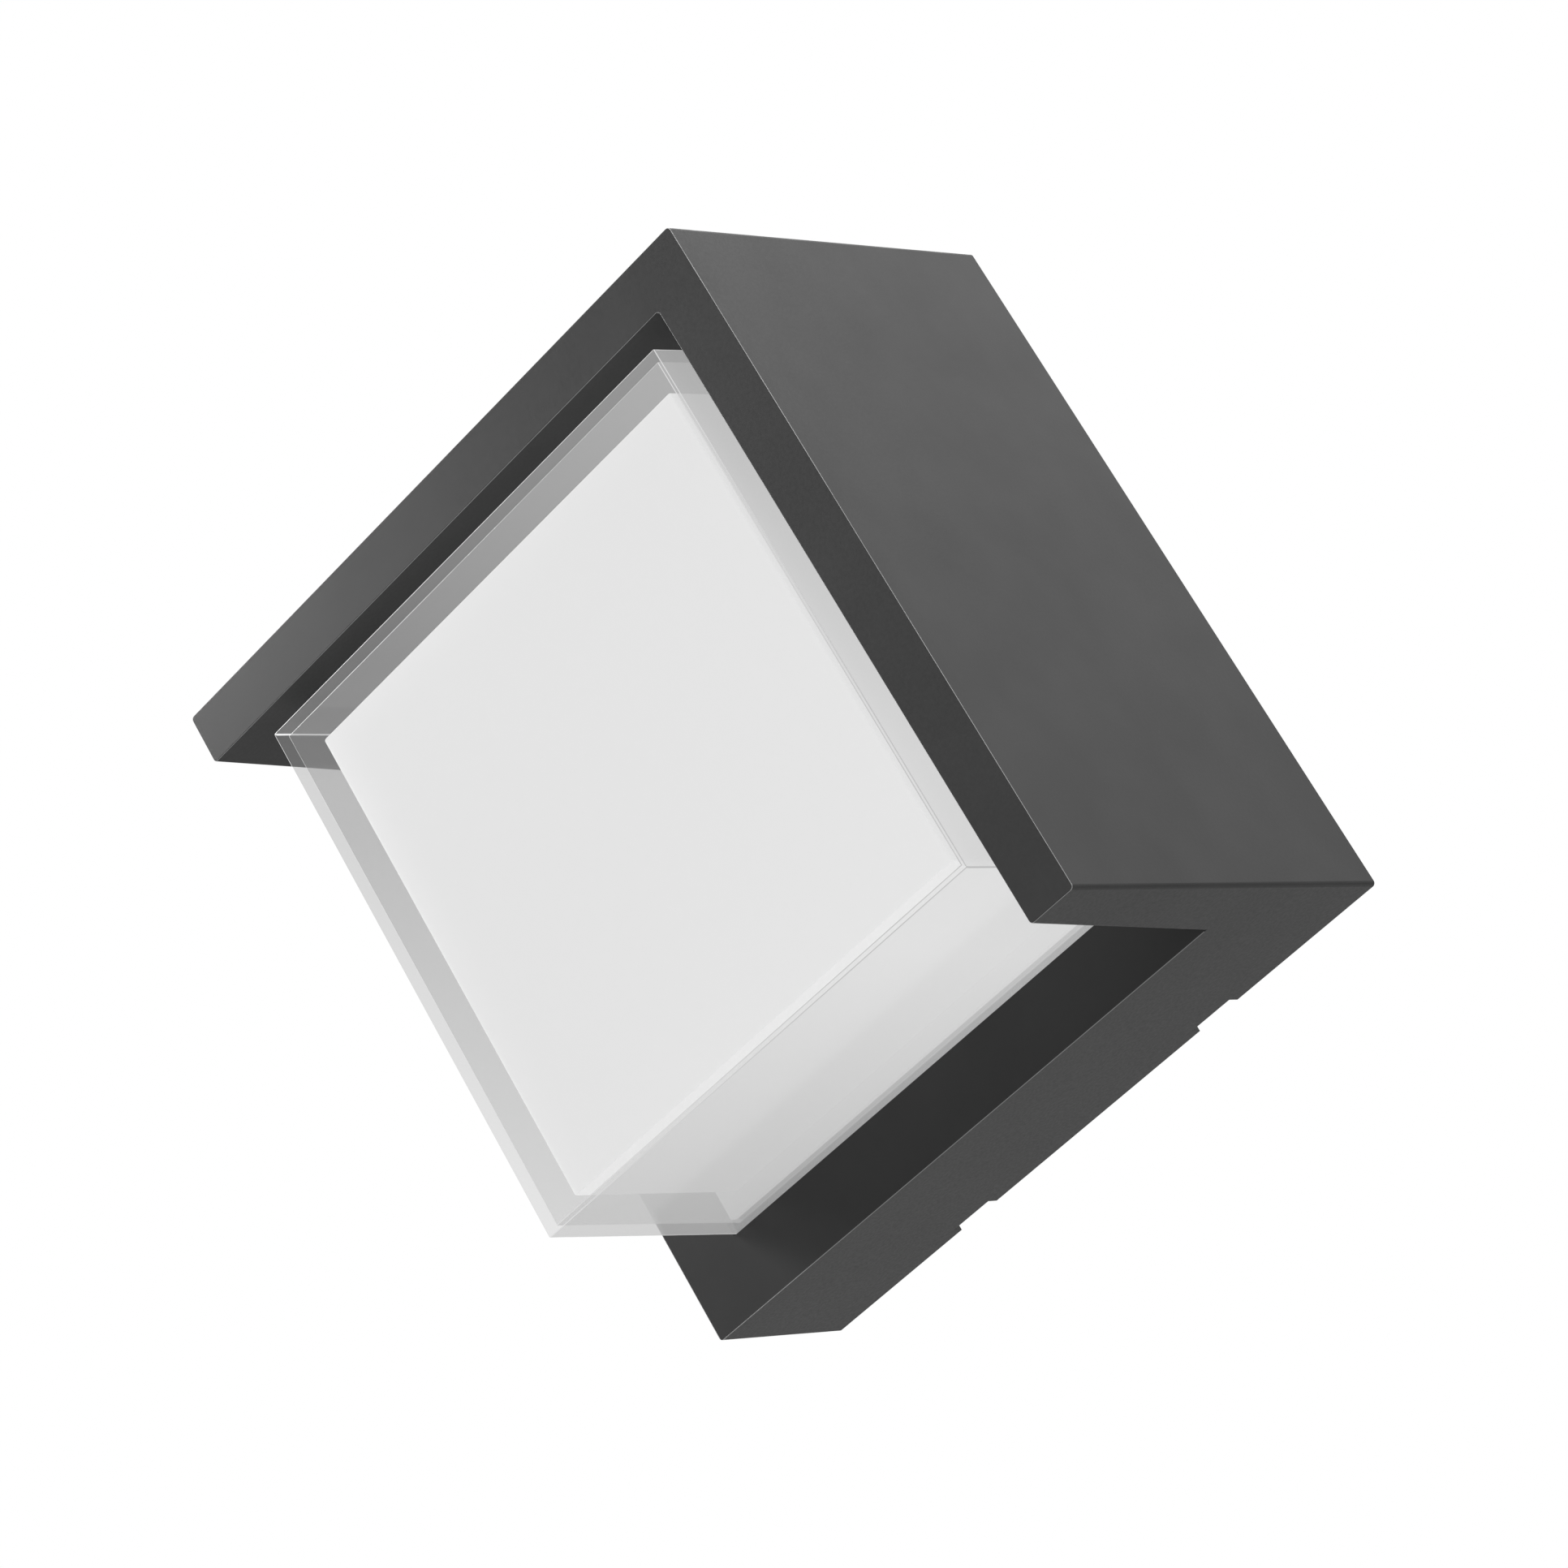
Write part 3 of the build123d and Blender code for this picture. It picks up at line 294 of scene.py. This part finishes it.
def coat(name, color, rough, gloss, grain, depth):
    """Powder coat: fine orange-peel relief, faint mottling, and painted highlight lines: lighter colour
    on the edge radii and along the plate's free edges.
    """
    material, tree, shader = new_material(name)
    mottle = remap(tree, noise(tree, per_metre=60.0, detail=4.0), 0.0, 1.0)
    field = two_tone(
        tree, mottle, scaled(color, 1 - COAT_MOTTLE), scaled(color, 1 + COAT_MOTTLE)
    )
    # painted highlight: the base colour is made several times lighter on the edge radii and along the
    # plate's free edges
    wing_edge_highlight = remap(tree, front_edge_highlight(tree), 0.0, 1.0, *EDGE_HIGHLIGHT_RAMP)
    edges = calculate(tree, "MAXIMUM", wing_edge_highlight, plate_edge_highlight(tree))
    tone = two_tone(tree, edges, field, scaled(color, EDGE_HIGHLIGHT_GAIN))
    tree.links.new(tone, shader.inputs["Base Color"])
    speck = noise(tree, grain, detail=2.0, rough=0.6)
    uneven_gloss(tree, shader, speck, rough, COAT_ROUGH_SPREAD)
    shader.inputs["Specular IOR Level"].default_value = gloss
    bump(tree, shader, speck, depth)
    return name, material


def plastic(name, color, rough, grain=900.0, depth=20 * MICRON, spread=0.06):
    """Moulded plastic: spark-eroded grain and a little colour variation."""
    material, tree, shader = new_material(name)
    dark = scaled(color, 1 - spread)
    light = scaled(color, 1 + spread)
    clouded(tree, shader, dark, light, per_metre=90.0, detail=3.0)
    relief = noise(tree, grain, detail=2.0)
    uneven_gloss(tree, shader, relief, rough, PLASTIC_ROUGH_SPREAD)
    bump(tree, shader, relief, depth)
    return name, material


def metal(name, color, rough, grain=(40.0, 900.0, 900.0), depth=6 * MICRON):
    """Rolled or turned metal: directional grain in colour, gloss and relief."""
    material, tree, shader = new_material(name)
    stretched = vector_op(tree, "MULTIPLY", coords(tree), grain).outputs["Vector"]
    streak = noise(tree, per_metre=1.0, detail=4.0, rough=0.6, vector=stretched)
    tone = two_tone(
        tree, remap(tree, streak, 0.0, 1.0), scaled(color, METAL_DARK), scaled(color, METAL_LIGHT)
    )
    tree.links.new(tone, shader.inputs["Base Color"])
    uneven_gloss(tree, shader, streak, rough, METAL_ROUGH_SPREAD)
    shader.inputs["Metallic"].default_value = 1.0
    bump(tree, shader, streak, depth)
    return name, material


def clear(name, film, rough, straight, grazing):
    """Clear thin-walled plastic: nearly open seen straight on, a pale film at grazing angles, glowing
    with painted light brighter towards one side, and with painted highlight lines on its edge radii.
    """
    material, tree, shader = new_material(name)
    clouded(tree, shader, scaled(film, 0.98), film, per_metre=40.0, detail=2.0)
    shader.inputs["Roughness"].default_value = rough
    shader.inputs["IOR"].default_value = POLYCARBONATE_IOR
    shader.inputs["Specular IOR Level"].default_value = 0.2
    facing = tree.nodes.new("ShaderNodeLayerWeight").outputs["Facing"]
    edge = rounded_edge(tree)
    cover = remap(tree, facing, straight, grazing, *FILM_TURN)
    edge_cover = remap(tree, edge, 0.0, FILM_EDGE_COVER, *FILM_EDGE_RAMP)
    alpha = calculate(tree, "MAXIMUM", cover, edge_cover)
    tree.links.new(alpha, shader.inputs["Alpha"])
    # painted light: white emission stands in for studio light on the film, ramped along a direction,
    # with painted highlight on the edge radii
    glow(shader)
    across = vector_op(tree, "DOT_PRODUCT", coords(tree), FILM_PAINTED_LIGHT_WAY).outputs["Value"]
    light = blend_numbers(
        tree,
        remap(tree, edge, 0.0, 1.0, *FILM_EDGE_HIGHLIGHT_RAMP),
        remap(tree, across, *FILM_FACE_PAINTED_LIGHT),
        remap(tree, across, *FILM_EDGE_PAINTED_HIGHLIGHT),
    )
    tree.links.new(light, shader.inputs["Emission Strength"])
    return name, material


def opal(name, color, strength):
    """Milky acrylic: light sinks in a little before it comes back; an even painted glow stands in for
    studio light passed through its walls.
    """
    material, tree, shader = new_material(name)
    clouded(tree, shader, scaled(color, 0.985), color, per_metre=30.0, detail=2.0)
    shader.inputs["Roughness"].default_value = 0.5
    shader.inputs["Specular IOR Level"].default_value = 0.15
    shader.inputs["Subsurface Weight"].default_value = 0.35
    shader.inputs["Subsurface Radius"].default_value = grey(OPAL_DEPTH)
    shader.inputs["Subsurface Scale"].default_value = 1.0
    # painted light: emission standing in for studio light passed through the milky walls
    glow(shader, strength)
    bump(tree, shader, noise(tree, per_metre=1400.0, detail=1.0), 8 * MICRON)
    return name, material


def chip(name, color, rim):
    """Light-emitting chip: phosphor grains between two yellows."""
    material, tree, shader = new_material(name)
    grain = noise(tree, per_metre=2500.0, detail=2.0)
    tone = two_tone(tree, remap(tree, grain, 0.0, 1.0), color, rim)
    tree.links.new(tone, shader.inputs["Base Color"])
    shader.inputs["Roughness"].default_value = 0.35
    bump(tree, shader, grain, 30 * MICRON)
    return name, material


# Material of each slot. Colours are linear; grain is in features per metre, along X, Y and Z for metals.
LOOKS = dict(
    (
        coat("powder_coat", grey(0.046), 0.36, gloss=0.08, grain=1500.0, depth=10 * MICRON),
        clear("clear_plastic", grey(0.06), 0.12, straight=0.03, grazing=0.58),
        # painted glow: the opal's emission stands in for studio light passed through it
        opal("opal_plastic", grey(0.14), strength=0.70),
        plastic("clear_silicone", (0.42, 0.43, 0.44), 0.4, grain=400.0, depth=60 * MICRON),
        metal("zinc_steel", (0.58, 0.59, 0.60), 0.34, grain=(700.0, 700.0, 700.0)),
        metal("bright_screw", (0.60, 0.60, 0.61), 0.28, grain=(900.0, 90.0, 900.0)),
        plastic("washer_rubber", grey(0.03), 0.7, grain=1200.0, depth=30 * MICRON),
        plastic("heat_pad", (0.20, 0.34, 0.44), 0.75, grain=700.0, depth=40 * MICRON),
        plastic("board_white", (0.78, 0.79, 0.78), 0.30, grain=1800.0, depth=8 * MICRON, spread=0.02),
        chip("chip_yellow", (0.78, 0.60, 0.12), (0.85, 0.72, 0.25)),
        plastic("connector_white", (0.74, 0.74, 0.70), 0.42),
        plastic("bush_rubber", grey(0.04), 0.65),
        plastic("driver_shell", (0.70, 0.71, 0.71), 0.42, grain=1100.0, depth=30 * MICRON),
        plastic("driver_plug", (0.06, 0.06, 0.065), 0.5),
        plastic("potting", (0.03, 0.03, 0.035), 0.35, grain=200.0, depth=100 * MICRON),
        plastic("terminal_plastic", (0.62, 0.62, 0.58), 0.4),
        metal("brass", (0.72, 0.52, 0.22), 0.3, grain=(800.0, 120.0, 800.0)),
        metal("tinned_copper", (0.66, 0.65, 0.62), 0.32, grain=(500.0, 500.0, 500.0)),
        plastic("wire_brown", (0.10, 0.035, 0.015), 0.38),
        plastic("wire_blue", (0.02, 0.09, 0.42), 0.38),
        plastic("wire_earth", (0.24, 0.42, 0.03), 0.38),
        plastic("wire_red", (0.45, 0.02, 0.015), 0.38),
        plastic("wire_black", grey(0.02), 0.38),
        plastic("gasket_foam", grey(0.06), 0.85, grain=2200.0, depth=120 * MICRON),
        metal("lid_plate", (0.38, 0.39, 0.40), 0.48, grain=(30.0, 700.0, 1100.0)),
        plastic("vent_plastic", grey(0.035), 0.5),
        plastic("gland_nylon", (0.035, 0.036, 0.038), 0.42),
        plastic("gland_rubber", grey(0.025), 0.7),
        metal("bracket_steel", (0.55, 0.57, 0.58), 0.38, grain=(60.0, 60.0, 1000.0)),
        metal("spring_steel", (0.46, 0.46, 0.47), 0.26, grain=(60.0, 900.0, 900.0)),
    )
)


def dress_nodes():
    """Every CAD node gets the procedural material of its record slot."""
    for row in frame["record"]["subparts"]:
        piece = NODES[row["node"]]
        piece.data.materials.clear()
        piece.data.materials.append(LOOKS[row["material_slot"]])


# ---------------------------------------------------------------- studio
BRIGHT_WAY = (0.48, -0.80, 0.36)
SURROUND = (0.22, 0.24)
SURROUND_RAMP = (-1.0, -0.35)
BACKDROP = 1.0
FLOOR_DROP = 1.15
FLOOR_HALF = 12.0
FLOOR_TONES = (grey(0.84), grey(0.87))
FLOOR_GLOW = 0.32
# name, place, aim, side of the square box, watts
LIGHTS = (
    ("key_right", (0.36, 0.08, 0.50), (0.05, -0.03, 0.0), 0.30, 11.5),
    ("key_left", (-0.30, -0.28, 0.32), (0.0, -0.05, 0.0), 0.20, 3.0),
    ("rim_right", (0.60, -0.45, 0.20), (0.0, -0.05, 0.0), 0.30, 1.8),
    ("back_soft", (-0.35, 0.90, 0.35), (0.0, 0.0, 0.0), 0.5, 7.0),
)


def make_world():
    """White backdrop for the eye; reflections and bounce see it dimmer, most so at the back."""
    world = bpy.data.worlds.new("studio")
    bpy.context.scene.world = world
    world.use_nodes = True
    tree = world.node_tree
    tree.nodes.clear()
    way = tree.nodes.new("ShaderNodeTexCoord").outputs["Generated"]
    toward = vector_op(tree, "DOT_PRODUCT", way, BRIGHT_WAY).outputs["Value"]
    ramp = remap(tree, toward, *SURROUND, *SURROUND_RAMP)
    path = tree.nodes.new("ShaderNodeLightPath").outputs
    seen = calculate(tree, "MAXIMUM", path["Is Camera Ray"], path["Is Transmission Ray"])
    back = tree.nodes.new("ShaderNodeBackground")
    back.inputs["Color"].default_value = WHITE
    tree.links.new(blend_numbers(tree, seen, ramp, BACKDROP), back.inputs["Strength"])
    out = tree.nodes.new("ShaderNodeOutputWorld")
    tree.links.new(back.outputs["Background"], out.inputs["Surface"])


def make_floor():
    """Plain pale floor well below the wall-hung lantern, out of the main view."""
    mesh = bpy.data.meshes.new("floor")
    z = CAD_BOX[0][2] - FLOOR_DROP
    turns = ((-1, -1), (1, -1), (1, 1), (-1, 1))
    corners = [(sx * FLOOR_HALF, sy * FLOOR_HALF, z) for sx, sy in turns]
    mesh.from_pydata(corners, [], [(0, 1, 2, 3)])
    floor = bpy.data.objects.new("floor", mesh)
    bpy.context.scene.collection.objects.link(floor)
    material, tree, shader = new_material("floor_pale")
    clouded(tree, shader, *FLOOR_TONES, per_metre=3.0, detail=3.0)
    shader.inputs["Roughness"].default_value = 0.9
    glow(shader, FLOOR_GLOW)
    mesh.materials.append(material)


def soft_light(name, place, aim, size, watts):
    """Square soft box."""
    data = bpy.data.lights.new(name, "AREA")
    data.shape = "SQUARE"
    data.size = size
    data.energy = watts
    light = bpy.data.objects.new(name, data)
    bpy.context.scene.collection.objects.link(light)
    light.location = place
    light.rotation_mode = "QUATERNION"
    light.rotation_quaternion = (Vector(aim) - Vector(place)).to_track_quat("-Z", "Y")


make_camera()
make_world()
make_floor()
for light_row in LIGHTS:
    soft_light(*light_row)
dress_nodes()
bpy.context.scene.view_settings.view_transform = "Standard"
